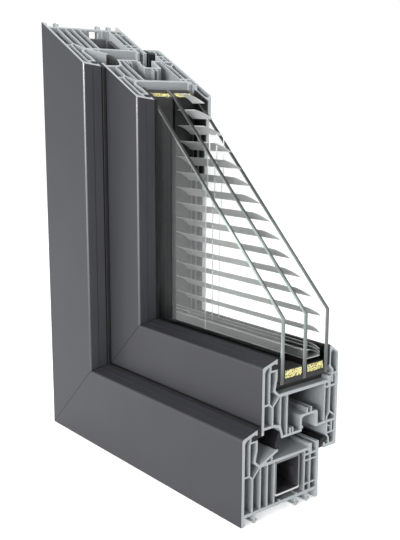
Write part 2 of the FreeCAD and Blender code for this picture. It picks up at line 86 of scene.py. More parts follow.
class Run(Enum):
    """Which way a length of profile runs."""

    RAIL = "rail"
    UPRIGHT = "upright"

    @property
    def along(self) -> int:
        """The number of the axis that it runs along."""
        return 0 if self is Run.RAIL else 2

    @property
    def across(self) -> int:
        """The number of the axis that leads from the sample's edge towards its inside."""
        return 2 - self.along

    @property
    def slope(self) -> float:
        """How far the free end's cut falls for each metre towards the inside."""
        return 0.0 if self is Run.RAIL else math.tan(TOP_CUT_ANGLE)

    @property
    def stretch(self) -> Point:
        """How often a grain repeats along X, Y and Z, so that it is drawn out along the profile."""
        return (4.0, 900.0, 900.0) if self is Run.RAIL else (900.0, 900.0, 4.0)

    @property
    def cut_normal(self) -> Vector:
        """Which way the free end's cut faces."""
        if self is Run.RAIL:
            return Vector((1, 0, 0))
        return Vector((math.sin(TOP_CUT_ANGLE), 0, math.cos(TOP_CUT_ANGLE)))


class Graph:
    """A node tree under construction, whose nodes are wired as they are added."""

    def __init__(self, tree: bpy.types.NodeTree) -> None:
        """Starts on the node tree of a material, a world or a modifier."""
        self.tree = tree

    def add(self, kind: str, inputs: dict | None = None, **settings: object) -> bpy.types.Node:
        """Adds a node.

        Args:
            kind: The node's type name.
            inputs: What goes into its sockets, by name or number: other sockets or plain values.
            **settings: The node's own properties.

        Returns:
            The new node.
        """
        node = self.tree.nodes.new(kind)
        for name, value in settings.items():
            setattr(node, name, value)
        for name, value in (inputs or {}).items():
            self.feed(node.inputs[name], value)
        return node

    def feed(self, socket: Socket, value: object) -> None:
        """Links a socket to another one, or gives it a value.

        Args:
            socket: The input to fill.
            value: Another node's output, or a plain value.
        """
        if isinstance(value, Socket):
            self.tree.links.new(value, socket)
        else:
            socket.default_value = value

    def math(self, operation: str, *values: object) -> Socket:
        """The result of one sum over its terms."""
        return self.add("ShaderNodeMath", dict(enumerate(values)), operation=operation).outputs[0]

    def product(self, first: object, second: object) -> Socket:
        """Two numbers multiplied."""
        return self.math("MULTIPLY", first, second)

    def minus(self, first: object, second: object) -> Socket:
        """The first number less the second."""
        return self.math("SUBTRACT", first, second)

    def parts(self, vector: Socket) -> bpy.types.NodeOutputs:
        """A vector's X, Y and Z, by name or number."""
        return self.add("ShaderNodeSeparateXYZ", {0: vector}).outputs

    def vector(self, x: object, y: object, z: object) -> Socket:
        """A vector put together from its X, Y and Z."""
        return self.add("ShaderNodeCombineXYZ", {0: x, 1: y, 2: z}).outputs[0]

    def span(self, value: Socket, low: float, high: float, start: float = 0.0, end: float = 1.0,
             smooth: bool = False) -> Socket:
        """Maps a value's range onto another one.

        Args:
            value: What is mapped.
            low: The value that gives start.
            high: The value that gives end.
            start: The result at low.
            end: The result at high.
            smooth: Whether the ends are eased.

        Returns:
            The mapped value.
        """
        node = self.add("ShaderNodeMapRange", {"Value": value, 1: low, 2: high, 3: start, 4: end},
                        interpolation_type="SMOOTHSTEP" if smooth else "LINEAR")
        return node.outputs[0]


class Surface(Graph):
    """A material under construction, with its shader."""

    def __init__(self, material: bpy.types.Material) -> None:
        """Starts on a material that has its shader already."""
        super().__init__(material.node_tree)
        self.shader = self.tree.nodes["Principled BSDF"]

    def set(self, socket: str, value: object) -> None:
        """Gives one of the shader's sockets a plain value or another node's output."""
        self.feed(self.shader.inputs[socket], value)

    def point(self) -> Socket:
        """The shaded point in the object's own coordinates."""
        return self.add("ShaderNodeTexCoord").outputs["Object"]

    def place(self) -> bpy.types.NodeOutputs:
        """The shaded point's X, Y and Z, by name or number."""
        return self.parts(self.point())

    def from_middle(self, value: Socket, pitch: float) -> Socket:
        """How far a value lies from the middle of its repeat, as a share of the pitch up to a half."""
        phase = self.math("FRACT", self.math("DIVIDE", value, pitch))
        return self.math("ABSOLUTE", self.minus(phase, 0.5))

    def noise(self, scale: float, detail: float = 2.0, stretch: Point = (1.0, 1.0, 1.0),
              rough: float = 0.5) -> Socket:
        """Adds a noise over the object.

        Args:
            scale: Its repeats in a metre.
            detail: How many finer layers it has.
            stretch: A factor on its repeats along each axis.
            rough: How strong the finer layers are.

        Returns:
            Its value, about 0.5 in the mean.
        """
        mapped = self.add("ShaderNodeMapping", {"Vector": self.point(), "Scale": stretch}).outputs[0]
        sizes = {"Vector": mapped, "Scale": scale, "Detail": detail, "Roughness": rough}
        return self.add("ShaderNodeTexNoise", sizes).outputs[0]

    def blend(self, share: Socket, first: object, second: object) -> Socket:
        """Mixes two colours, each given as a socket or a plain colour.

        Args:
            share: How much of the second there is.
            first: The colour at 0.
            second: The colour at 1.

        Returns:
            The mixed colour.
        """
        node = self.add("ShaderNodeMix", {"Factor": share}, data_type="RGBA")
        for socket, colour in ((node.inputs[6], first), (node.inputs[7], second)):
            self.feed(socket, colour if isinstance(colour, Socket) else (*colour, 1.0))
        return node.outputs[2]

    def relief(self, height: Socket, depth: float) -> None:
        """Raises the surface by a height, whose 1 stands up by the depth in metres."""
        bump = self.add("ShaderNodeBump", {"Height": height, "Distance": depth, "Strength": 1.0})
        self.set("Normal", bump.outputs[0])


def tint(colour: Colour, factor: float) -> Colour:
    """A colour made lighter or darker by a factor."""
    return tuple(channel * factor for channel in colour)


@dataclass(frozen=True)
class Finish:
    """What all finishes share: a name, a colour and how rough the surface is."""

    name: str
    colour: Colour
    roughness: float
    wear_and_sheen: Ends = (0.05, 0.05)

    def build(self) -> bpy.types.Material:
        """Makes the material, or gives the one made before.

        Returns:
            The material.
        """
        made = bpy.data.materials.get(self.name)
        if made is not None:
            return made
        material = bpy.data.materials.new(self.name)
        material.use_nodes = True
        surface = Surface(material)
        surface.set("Base Color", (*self.colour, 1.0))
        surface.set("Roughness", self.roughness)
        self.dress(surface)
        return material

    def dress(self, surface: Surface) -> None:
        """Adds what is special to this finish."""
        raise NotImplementedError

    def tones(self, surface: Surface, share: Socket, low: float, high: float) -> Socket:
        """The finish's colour, tinted from the low factor at 0 to the high one at 1."""
        return surface.blend(share, tint(self.colour, low), tint(self.colour, high))

    def clouded(self, surface: Surface, repeats: float, amount: float) -> Socket:
        """The finish's colour with soft clouds, darker and lighter by the amount."""
        cloud = surface.span(surface.noise(repeats, 3.0), *MOTTLE)
        return self.tones(surface, cloud, 1 - amount, 1 + amount)

    def wear(self, surface: Surface, value: Socket, ends: Ends = MOTTLE) -> None:
        """Lets the roughness follow a value, from below its middle to above it."""
        below, above = self.wear_and_sheen
        surface.set("Roughness", surface.span(value, *ends, self.roughness - below, self.roughness + above))


@dataclass(frozen=True)
class OutdoorFoil(Finish):
    """Anthracite outdoor skin with a fine grain, and a hairline where the mitred lengths meet."""

    wear_and_sheen: Ends = (0.04, 0.04)
    cloud_repeats: float = 26.0
    cloud: float = 0.05
    grain_repeats: float = 2600.0
    grain_depth: float = 0.012 * MM
    joint_half_width: float = 0.45 * MM
    joint_depth: float = 3.0
    joint_tone: float = 0.5
    joint_gloss: float = 0.2
    gloss: float = 0.38
    top_highlight_gloss: float = 0.38
    highlight_heights: Ends = (0.1, 0.34)

    def dress(self, surface: Surface) -> None:
        """Adds clouding, grain and the hairline."""
        skin = self.clouded(surface, self.cloud_repeats, self.cloud)
        joint = self.joint(surface)
        # Specular strength rising with height; on the arris skin this is a painted highlight, brightest at
        # the top.
        gloss = surface.span(surface.place()["Z"], *self.highlight_heights, self.gloss, self.top_highlight_gloss)
        clean = surface.span(joint, 0.0, 1.0, 1.0, self.joint_gloss)
        surface.set("Specular IOR Level", surface.product(gloss, clean))
        surface.set("Base Color", surface.blend(joint, skin, tint(self.colour, self.joint_tone)))
        groove = surface.product(joint, self.joint_depth)
        surface.relief(surface.minus(surface.noise(self.grain_repeats), groove), self.grain_depth)
        self.wear(surface, surface.noise(self.grain_repeats / 2, 3.0))

    def joint(self, surface: Surface) -> Socket:
        """Where the mitre's hairline is, from 0 beside it to 1 on it."""
        low = cad_box[0]
        place = surface.place()
        along = surface.minus(place["X"], low.x)
        across = surface.minus(along, surface.minus(place["Z"], low.z))
        apart = surface.product(surface.math("ABSOLUTE", across), math.sqrt(0.5))
        return surface.span(apart, 0.4 * self.joint_half_width, self.joint_half_width, 1.0, 0.0, smooth=True)


@dataclass(frozen=True)
class ExtrudedPlastic(Finish):
    """The profile's light grey body, with faint die lines along its length."""

    wear_and_sheen: Ends = (0.05, 0.07)
    run: Run = Run.RAIL
    cloud_repeats: float = 38.0
    cloud: float = 0.04
    line_span: Ends = (0.35, 0.65)
    line_tone: float = 0.95
    line_depth: float = 0.01 * MM

    def dress(self, surface: Surface) -> None:
        """Adds clouding and die lines."""
        skin = self.clouded(surface, self.cloud_repeats, self.cloud)
        lines = surface.noise(1.0, 3.0, self.run.stretch, 0.6)
        lined = surface.blend(surface.span(lines, *self.line_span), tint(self.colour, self.line_tone), skin)
        surface.set("Base Color", lined)
        self.wear(surface, lines)
        surface.relief(lines, self.line_depth)


@dataclass(frozen=True)
class SawnPlastic(Finish):
    """The profile's body where it is sawn through, with the blade's arcs across the cut."""

    run: Run = Run.RAIL
    arc_repeats: float = 420.0
    arc_depth: float = 0.02 * MM
    arc_share: float = 0.25
    arc_tone: float = 1.1
    blade_radius: float = 0.19
    blade_rise: float = 0.02
    blade_shift: float = -0.05
    chalk_repeats: float = 900.0
    chalk_span: Ends = (0.35, 0.7)
    chalk_tones: Ends = (0.94, 1.05)
    chalk_height: float = 0.6

    def dress(self, surface: Surface) -> None:
        """Adds the saw's arcs and a light chalkiness."""
        if self.run is Run.RAIL:
            centre, direction = (0.0, -self.blade_radius, self.blade_rise), "X"
        else:
            centre, direction = (self.blade_shift, self.blade_radius, 0.0), "SPHERICAL"
        moved = surface.add("ShaderNodeMapping", {"Vector": surface.point(), "Location": centre}).outputs[0]
        sizes = {"Vector": moved, "Scale": self.arc_repeats / math.tau, "Distortion": 1.6, "Detail": 2.0,
                 "Detail Scale": 2.0}
        arcs = surface.add("ShaderNodeTexWave", sizes, wave_type="RINGS",
                           rings_direction=direction).outputs["Fac"]
        chalk = surface.noise(self.chalk_repeats, 3.0)
        body = self.tones(surface, surface.span(chalk, *self.chalk_span), *self.chalk_tones)
        marks = surface.product(arcs, self.arc_share)
        surface.set("Base Color", surface.blend(marks, body, tint(self.colour, self.arc_tone)))
        height = surface.math("ADD", arcs, surface.product(chalk, self.chalk_height))
        surface.relief(height, self.arc_depth)


@dataclass(frozen=True)
class GalvanisedSteel(Finish):
    """Zinc-coated steel with its spangle, dulled with age."""

    wear_and_sheen: Ends = (0.08, 0.1)
    metallic: float = 0.85
    tone_range: Ends = (0.8, 1.25)
    spangle_repeats: float = 160.0
    spangle_share: float = 0.6
    cloud_repeats: float = 60.0
    pit_repeats: float = 700.0
    pit_depth: float = 0.01 * MM

    def dress(self, surface: Surface) -> None:
        """Adds the spangle and its uneven gloss."""
        surface.set("Metallic", self.metallic)
        sizes = {"Vector": surface.point(), "Scale": self.spangle_repeats}
        cells = surface.add("ShaderNodeTexVoronoi", sizes).outputs["Color"]
        grey = surface.add("ShaderNodeSeparateColor", {0: cells}).outputs[0]
        cloud = surface.product(surface.noise(self.cloud_repeats, 4.0), 1 - self.spangle_share)
        tone = surface.math("ADD", surface.product(grey, self.spangle_share), cloud)
        surface.set("Base Color", self.tones(surface, tone, *self.tone_range))
        self.wear(surface, tone, (0.0, 1.0))
        surface.relief(surface.noise(self.pit_repeats), self.pit_depth)


@dataclass(frozen=True)
class SawnSteel(GalvanisedSteel):
    """The steel's sawn end: oxidised, with bare bright metal left along its bottom wall."""

    bare_colour: Colour = (0.62, 0.62, 0.62)
    wall: float = 1.8 * MM
    fade: float = 1.4

    def dress(self, surface: Surface) -> None:
        """Adds the bare wall to the worn end."""
        super().dress(surface)
        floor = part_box("frame_steel_rail")[0].z
        bare = surface.span(surface.place()["Z"], floor + self.wall, floor + self.fade * self.wall, 1.0, 0.0)
        surface.set("Base Color", surface.blend(bare, self.colour, self.bare_colour))


@dataclass(frozen=True)
class Rubber(Finish):
    """Black extruded rubber or cured sealant, with a soft bloom."""

    wear_and_sheen: Ends = (0.08, 0.08)
    lump_repeats: float = 500.0
    lump_depth: float = 0.02 * MM
    bloom_repeats: float = 90.0
    bloom_span: Ends = (0.4, 0.75)
    bloom: float = 1.8
    gloss: float = 0.25

    def dress(self, surface: Surface) -> None:
        """Adds bloom and an uneven skin."""
        surface.set("Specular IOR Level", self.gloss)
        bloom = surface.span(surface.noise(self.bloom_repeats, 4.0), *self.bloom_span)
        surface.set("Base Color", self.tones(surface, bloom, 1.0, self.bloom))
        lumps = surface.noise(self.lump_repeats, 3.0)
        self.wear(surface, lumps)
        surface.relief(lumps, self.lump_depth)


@dataclass(frozen=True)
class RibbedRubber(Rubber):
    """Black rubber with broad ribs along its upright length, where it presses on the glass; the ribs are
    painted lighter as sheen.
    """

    rib_pitch: float = 7.5 * MM
    rib_edge: Ends = (0.12, 0.26)
    rib_sheen_colour: Colour = (0.42, 0.43, 0.43)
    rib_end: Ends = (280.0 * MM, 290.0 * MM)
    facing: Ends = (0.6, 0.9)

    def dress(self, surface: Surface) -> None:
        """Adds the ribs as painted sheen, lighter where they face the glass."""
        super().dress(surface)
        place = surface.place()
        apart = surface.from_middle(place["X"], self.rib_pitch)
        rib = surface.span(apart, *self.rib_edge, 1.0, 0.0, smooth=True)
        normal = surface.parts(surface.add("ShaderNodeNewGeometry").outputs["Normal"])
        flat = surface.span(surface.math("ABSOLUTE", normal["Y"]), *self.facing)
        below = surface.span(place["Z"], *self.rib_end, 1.0, 0.0)
        # Painted sheen: lighter stripes on faces towards the glass, below the ribs' end.
        wear_and_sheen = surface.product(rib, surface.product(flat, below))
        surface.set("Base Color", surface.blend(wear_and_sheen, self.colour, self.rib_sheen_colour))


@dataclass(frozen=True)
class SpacerShell(Finish):
    """Black stainless spacer with the fine slits that the drying agent breathes through."""

    run: Run = Run.RAIL
    metallic: float = 0.5
    slit_pitch: float = 3.0 * MM
    slit_edge: Ends = (0.2, 0.24)
    slit_tone: float = 0.25
    row_pitch: float = 4.0 * MM
    row_edge: Ends = (0.04, 0.06)
    depth: float = 0.05 * MM
    grain_height: float = 0.3

    def dress(self, surface: Surface) -> None:
        """Adds the slits as darker dashes and a rolled grain."""
        surface.set("Metallic", self.metallic)
        place = surface.place()
        along = surface.from_middle(place[self.run.along], self.slit_pitch)
        dash = surface.span(along, *self.slit_edge, 1.0, 0.0)
        row = surface.span(surface.from_middle(place["Y"], self.row_pitch), *self.row_edge, 1.0, 0.0)
        slit = surface.product(dash, row)
        surface.set("Base Color", self.tones(surface, slit, 1.0, self.slit_tone))
        grain = surface.product(surface.noise(1.0, 2.0, self.run.stretch), self.grain_height)
        surface.relief(surface.minus(grain, slit), self.depth)


@dataclass(frozen=True)
class DryingAgent(Finish):
    """Pale yellow drying beads, some dustier and whiter, some darker, each with its own tone."""

    dust: Colour = (0.97, 0.97, 0.88)
    dusty: Ends = (0.55, 0.9)
    dark: float = 0.12
    darkest: Ends = (0.17, 0.28)
    pore_repeats: float = 4200.0
    pore_span: Ends = (0.35, 0.5)
    pore_tone: float = 0.7
    pore_depth: float = 0.03 * MM

    def dress(self, surface: Surface) -> None:
        """Adds the tone of each bead, kept in the mesh, and the pores."""
        tone = surface.add("ShaderNodeAttribute", attribute_name=BEAD_TONE).outputs["Fac"]
        pale = surface.blend(surface.span(tone, *self.dusty), self.colour, self.dust)
        shade = surface.blend(surface.span(tone, *self.darkest), tint(self.colour, self.dark), pale)
        pores = surface.noise(self.pore_repeats)
        open_pores = surface.span(pores, *self.pore_span)
        pitted = surface.blend(open_pores, tint(self.colour, self.pore_tone), shade)
        surface.set("Base Color", pitted)
        surface.relief(pores, self.pore_depth)


@dataclass(frozen=True)
class ClearGlass(Finish):
    """Clear float glass, seen through its faces."""

    refraction: float = 1.46
    haze_repeats: float = 12.0
    haze: float = 0.992

    def dress(self, surface: Surface) -> None:
        """Lets light through, with a trace of unevenness."""
        surface.set("Transmission Weight", 1.0)
        surface.set("IOR", self.refraction)
        haze = surface.span(surface.noise(self.haze_repeats), *MOTTLE)
        surface.set("Base Color", self.tones(surface, haze, self.haze, 1.0))


@dataclass(frozen=True)
class GroundEdge(Finish):
    """A pane's ground edge: green glass painted with light and shade, its outdoor half painted lit while its
    room half is painted dark.
    """

    lit: Colour = (0.74, 0.86, 0.81)
    dimmer_light: Colour = (0.19, 0.205, 0.20)
    painted_shade: Colour = (0.085, 0.095, 0.092)
    top_painted_shade: float = 0.3
    refraction: float = 1.5
    clearness: float = 0.15
    pane_pitch: float = 24.0 * MM
    first_pane: float = -11.5 * MM
    last_pane_share: float = 0.25
    upright_share: float = 0.25
    border_shift: float = -1.1 * MM
    border_width: float = 0.4 * MM
    shaded_foot: Ends = (0.108, 0.128)
    bend: float = 153.6 * MM
    upright_fade: float = 5.0 * MM
    slant_fade: Ends = (-2.0 * MM, 6.0 * MM)
    narrowing: Ends = (0.205, 0.262)
    light_fading: Ends = (0.215, 0.285)
    patch_repeats: float = 32.0
    patch_span: Ends = (0.38, 0.58)
    patch_share: float = 0.4
    wheel_repeats: float = 1500.0
    wheel_depth: float = 0.01 * MM

    def dress(self, surface: Surface) -> None:
        """Paints the lit and dark halves of the slanting edge, the plainer upright part and the darker top
        and foot, and adds the wheel's marks.
        """
        surface.set("IOR", self.refraction)
        surface.set("Transmission Weight", self.clearness)
        place = surface.place()
        height = place["Z"]
        last_pane = self.first_pane + 2.0 * self.pane_pitch
        pane = surface.span(place["Y"], self.first_pane, last_pane, 1.0, self.last_pane_share)
        below = surface.span(height, self.bend, self.bend + self.upright_fade, 1.0, 0.0)
        # Painted shade: dark over the edge, darker towards the top.
        dark = surface.blend(surface.span(height, *self.narrowing), self.painted_shade, tint(self.painted_shade, self.top_painted_shade))
        plain = surface.blend(surface.product(pane, below), dark, self.colour)
        bright = surface.blend(surface.span(height, *self.light_fading), self.lit, self.dimmer_light)
        light = surface.product(self.half(surface, place), self.share(surface, height))
        edge = surface.blend(surface.product(light, pane), plain, bright)
        # Painted shade at the foot, below the lit and plain parts.
        surface.set("Base Color", surface.blend(surface.span(height, *self.shaded_foot), self.painted_shade, edge))
        surface.relief(surface.noise(self.wheel_repeats, 3.0), self.wheel_depth)

    def half(self, surface: Surface, place: bpy.types.NodeOutputs) -> Socket:
        """Where the lit half is: on each pane's outdoor side, and narrower towards the top.

        Args:
            surface: The material.
            place: The point's X, Y and Z.

        Returns:
            1 on the lit half and 0 on the other.
        """
        lane = surface.math("DIVIDE", surface.minus(place["Y"], self.first_pane), self.pane_pitch)
        phase = surface.math("FRACT", surface.math("ADD", lane, 0.5))
        across = surface.product(surface.minus(phase, 0.5), self.pane_pitch)
        border = surface.span(place["Z"], *self.narrowing, 0.0, self.border_shift)
        past = surface.minus(across, border)
        return surface.span(past, -self.border_width, self.border_width, 1.0, 0.0, smooth=True)

    def share(self, surface: Surface, height: Socket) -> Socket:
        """How much light the lit half catches: less on the upright part, and unevenly."""
        start, end = (self.bend + step for step in self.slant_fade)
        slant = surface.span(height, start, end, self.upright_share, 1.0)
        patches = surface.noise(self.patch_repeats, 3.0)
        patches = surface.span(patches, *self.patch_span, self.patch_share, 1.0)
        return surface.product(slant, patches)


@dataclass(frozen=True)
class SlatLacquer(Finish):
    """Grey lacquer on aluminium, with rolling lines, edges painted bright as highlights, and painted light
    near the corner.
    """

    piece: str = "slat_01"
    edge_axis: str = "Y"
    edge_highlight_colour: Colour = (0.86, 0.86, 0.86)
    edge_width: float = 0.55 * MM
    edge_full_width: float = 0.3 * MM
    corner_light: float = 1.5
    corner_light_from: Ends = (-15.0 * MM, 25.0 * MM)
    cloud_repeats: float = 45.0
    line_share: float = 0.5
    tone_span: Ends = (0.35, 0.65)
    tone_range: Ends = (0.94, 1.06)
    gloss: float = 0.3
    line_depth: float = 0.006 * MM

    def dress(self, surface: Surface) -> None:
        """Adds the rolling lines, the painted light near the corner and the painted edge highlights."""
        surface.set("Specular IOR Level", self.gloss)
        lines = surface.noise(1.0, 3.0, Run.RAIL.stretch, 0.6)
        cloud = surface.product(surface.noise(self.cloud_repeats), 1 - self.line_share)
        tone = surface.math("ADD", surface.product(lines, self.line_share), cloud)
        shade = self.tones(surface, surface.span(tone, *self.tone_span), *self.tone_range)
        low, high = (getattr(corner, self.edge_axis.lower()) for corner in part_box(self.piece))
        reach = (high - low) / 2
        place = surface.place()
        apart = surface.math("ABSOLUTE", surface.minus(place[self.edge_axis], (low + high) / 2))
        edge = surface.span(apart, reach - self.edge_width, reach - self.edge_full_width)
        # Painted light: lighter towards the corner, where the slats lie in shade.
        away_from_corner = surface.span(place["X"], *self.corner_light_from, smooth=True)
        corner_light = surface.blend(away_from_corner, tint(self.colour, self.corner_light), shade)
        # Painted highlights along both edges.
        surface.set("Base Color", surface.blend(edge, corner_light, self.edge_highlight_colour))
        self.wear(surface, lines)
        surface.relief(lines, self.line_depth)


@dataclass(frozen=True)
class Braid(Finish):
    """White braided cord, its strands crossing both ways."""

    strand_repeats: float = 1500.0
    strand_turns: tuple[float, float] = (math.radians(35), math.radians(-35))
    strand_tone: float = 0.72
    strand_depth: float = 0.04 * MM
    softness: float = 0.7
    soft_depth: float = 1.0 * MM

    def dress(self, surface: Surface) -> None:
        """Adds the crossing strands and lets some light into the fibres."""
        strands = []
        for turn in self.strand_turns:
            turns = {"Vector": surface.point(), "Rotation": (turn, turn, 0.0)}
            sizes = {"Vector": surface.add("ShaderNodeMapping", turns).outputs[0],
                     "Scale": self.strand_repeats / math.tau, "Distortion": 0.4}
            strands.append(surface.add("ShaderNodeTexWave", sizes, bands_direction="Z").outputs["Fac"])
        weave = surface.math("MAXIMUM", *strands)
        surface.set("Subsurface Weight", self.softness)
        surface.set("Subsurface Scale", self.soft_depth)
        surface.set("Subsurface Radius", WHITE)
        surface.set("Base Color", self.tones(surface, weave, self.strand_tone, 1.0))
        surface.relief(weave, self.strand_depth)


@dataclass(frozen=True)
class MouldedPlastic(Finish):
    """Black moulded plastic with a spark-eroded grain."""

    grain_repeats: float = 1800.0
    grain_tone: float = 1.5
    grain_depth: float = 0.02 * MM

    def dress(self, surface: Surface) -> None:
        """Adds the grain."""
        grain = surface.noise(self.grain_repeats)
        surface.set("Base Color", self.tones(surface, grain, 1.0, self.grain_tone))
        surface.relief(grain, self.grain_depth)


@dataclass(frozen=True)
class StudioFloor(Finish):
    """A plain pale studio floor, lit through from below like a light table."""

    glow: float = 0.42
    cloud_repeats: float = 3.0
    cloud: float = 0.99

    def dress(self, surface: Surface) -> None:
        """Adds the glow and a barely visible unevenness."""
        surface.set("Emission Color", (*WHITE, 1.0))
        surface.set("Emission Strength", self.glow)
        surface.set("Base Color", self.tones(surface, surface.noise(self.cloud_repeats), self.cloud, 1.0))


def put_in_scene(name: str, data: bpy.types.ID) -> bpy.types.Object:
    """Adds an object for a mesh, a light or a camera.

    Args:
        name: The object's name.
        data: What it shows.

    Returns:
        The object.
    """
    made = bpy.data.objects.new(name, data)
    bpy.context.scene.collection.objects.link(made)
    return made


class Recipe(Graph):
    """A geometry node tree under construction, which turns a carrier mesh into a finished one."""

    def __init__(self, name: str, sizes: dict[str, float]) -> None:
        """Starts the tree, with an input for each size.

        Args:
            name: The tree's name.
            sizes: The names and values of its inputs.
        """
        super().__init__(bpy.data.node_groups.new(name, "GeometryNodeTree"))
        self.name = name
        self.sizes = sizes
        for way in ("INPUT", "OUTPUT"):
            self.tree.interface.new_socket("Geometry", in_out=way, socket_type="NodeSocketGeometry")
        for size in sizes:
            self.tree.interface.new_socket(size, in_out="INPUT", socket_type="NodeSocketFloat")
        self.inputs = self.add("NodeGroupInput").outputs

    def step(self, kind: str, inputs: dict | None = None, **settings: object) -> Socket:
        """Adds a geometry node, named without its prefix, and returns its first output."""
        return self.add(f"GeometryNode{kind}", inputs, **settings).outputs[0]

    def join(self, *parts: Socket) -> Socket:
        """Joins several geometries.

        Args:
            *parts: The geometries.

        Returns:
            The joined geometry.
        """
        node = self.add("GeometryNodeJoinGeometry")
        for part in parts:
            self.feed(node.inputs[0], part)
        return node.outputs[0]

    def random(self, low: float, high: float, seed: int) -> Socket:
        """A random number from low to high for each point, fixed by the seed."""
        return self.add("FunctionNodeRandomValue", {2: low, 3: high, "Seed": seed}).outputs[1]

    def bake(self, result: Socket, finish: Finish, carrier: bpy.types.Mesh) -> bpy.types.Mesh:
        """Ends the tree, runs it on a carrier and keeps the plain mesh.

        Args:
            result: The finished geometry.
            finish: Its finish.
            carrier: The mesh that the tree starts from.

        Returns:
            The plain mesh.
        """
        dressed = self.step("SetMaterial", {"Geometry": result, "Material": finish.build()})
        self.add("NodeGroupOutput", {0: dressed})
        holder = put_in_scene(self.name, carrier)
        modifier = holder.modifiers.new(self.name, "NODES")
        modifier.node_group = self.tree
        for item in self.tree.interface.items_tree:
            if item.in_out == "INPUT" and item.name in self.sizes:
                modifier[item.identifier] = self.sizes[item.name]
        shaped = holder.evaluated_get(bpy.context.evaluated_depsgraph_get())
        mesh = bpy.data.meshes.new_from_object(shaped)
        holder.modifiers.remove(modifier)
        bpy.data.objects.remove(holder)
        return mesh


FOIL_COLOUR = (0.029, 0.0295, 0.0345)
BODY_COLOUR = (0.38, 0.405, 0.42)
STEEL = GalvanisedSteel("galvanised_steel", (0.16, 0.16, 0.17), 0.45)
# A darker copy of the steel for the tube's inner faces: painted shade inside the tube.
SHADED_STEEL_INSIDE = GalvanisedSteel("shaded_steel_inside", (0.14, 0.14, 0.15), 0.5)
SAWN_STEEL = SawnSteel("sawn_steel", (0.17, 0.175, 0.18), 0.5, metallic=0.3)
# Its base is lighter than the plain rubber's, as part of the painted sheen.
RIBBED_RUBBER = RibbedRubber("ribbed_rubber", (0.012, 0.012, 0.013), 0.45)
RUBBER = Rubber("black_rubber", (0.006, 0.006, 0.007), 0.5)
SEALANT = Rubber("edge_sealant", (0.018, 0.018, 0.018), 0.6, lump_repeats=240.0, lump_depth=0.1 * MM)
PACKER = MouldedPlastic("packer_plastic", (0.02, 0.02, 0.021), 0.5)
BEADS = DryingAgent("drying_beads", (0.97, 0.90, 0.33), 0.8)
GLASS = ClearGlass("clear_glass", (0.985, 1.0, 0.993), 0.0)
GLASS_EDGE = GroundEdge("glass_edge", (0.21, 0.25, 0.235), 0.25)
GLASS_ARRIS = GroundEdge("glass_arris", (0.20, 0.24, 0.225), 0.4)
SLAT = SlatLacquer("slat_lacquer", (0.40, 0.41, 0.41), 0.6)
# Its light lines along the top and bottom edges are painted highlights.
BLIND_RAIL = SlatLacquer("blind_rail_lacquer", (0.15, 0.16, 0.157), 0.5, piece="blind_rail", edge_axis="Z",
                         edge_highlight_colour=(0.7, 0.7, 0.7), edge_width=1.1 * MM)
CORD = Braid("cord_braid", (0.95, 0.95, 0.94), 0.8)
FLOOR = StudioFloor("studio_floor", (0.93, 0.93, 0.93), 0.7)
PLAIN_LENGTHS = {
    "frame_seal": RUBBER, "middle_seal": RUBBER, "sash_seal": RUBBER, "outer_glass_seal": RUBBER,
    "outdoor_edge_seal": SEALANT, "room_edge_seal": SEALANT, "glazing_packer": PACKER,
}


def outdoor_foil(name: str, shade: float) -> OutdoorFoil:
    """The outdoor skin of one profile, darkened by a factor; for the sash this darkening is painted shade."""
    return OutdoorFoil(f"{name}_foil", tint(FOIL_COLOUR, shade), 0.42)


def foil_arris(name: str, shade: float) -> OutdoorFoil:
    """The same skin where it is drawn smooth over an arris; its raised specular strength, which rises further
    towards the top, is partly smoothness and partly a painted highlight.
    """
    return OutdoorFoil(f"{name}_foil_arris", tint(FOIL_COLOUR, shade), 0.3, grain_depth=0.004 * MM,
                       gloss=0.8, top_highlight_gloss=1.7)


def shaded_chamber_plastic(run: Run) -> ExtrudedPlastic:
    """The plastic inside the chambers, for one run, painted darker as shade in the deep recesses; a little
    less dark on the upright, as painted light from above.
    """
    # Painted shade: the chambers take a darker copy of the body colour.
    shade = 0.74 if run is Run.RAIL else 0.8
    return ExtrudedPlastic(f"chamber_plastic_{run.value}", tint(BODY_COLOUR, shade), 0.5, run=run)


def body_plastic(run: Run) -> ExtrudedPlastic:
    """The profile body's finish for one run."""
    return ExtrudedPlastic(f"profile_plastic_{run.value}", BODY_COLOUR, 0.38, run=run)


def sawn_plastic(run: Run) -> SawnPlastic:
    """The sawn end's finish for one run: the slanting cut is painted lighter than the square one, as painted
    light from above.
    """
    # The upright's lighter tone is painted light on the slanting cut.
    shade = 1.02 if run is Run.RAIL else 1.35
    return SawnPlastic(f"sawn_plastic_{run.value}", tint(BODY_COLOUR, shade), 0.55, run=run)


def spacer_shell(side: str, run: Run) -> SpacerShell:
    """The spacer's finish for one side of the middle pane and one run; the outdoor spacer is painted lighter
    as light and the room spacer painted darker as shade.
    """
    # Painted light on the outdoor spacer and painted shade on the room spacer.
    shade = (0.05, 0.05, 0.051) if side == "outdoor" else (0.022, 0.022, 0.023)
    return SpacerShell(f"{side}_spacer_shell_{run.value}", shade, 0.4, run=run)


def finished_mesh(shape: bmesh.types.BMesh, name: str, *finishes: Finish) -> bpy.types.Mesh:
    """Turns a shape into a mesh with its finishes.

    Args:
        shape: The shape, which is freed.
        name: The mesh's name.
        *finishes: The finishes, in the order of its material slots.

    Returns:
        The mesh.
    """
    mesh = bpy.data.meshes.new(name)
    shape.to_mesh(mesh)
    shape.free()
    for finish in finishes:
        mesh.materials.append(finish.build())
    return mesh


def band(shape: bmesh.types.BMesh, near: list[bmesh.types.BMVert],
         far: list[bmesh.types.BMVert]) -> list[bmesh.types.BMFace]:
    """Joins two rings of corners by a face for each side, and gives these faces."""
    return [shape.faces.new((near[index], near[index - 1], far[index - 1], far[index]))
            for index in range(len(near))]


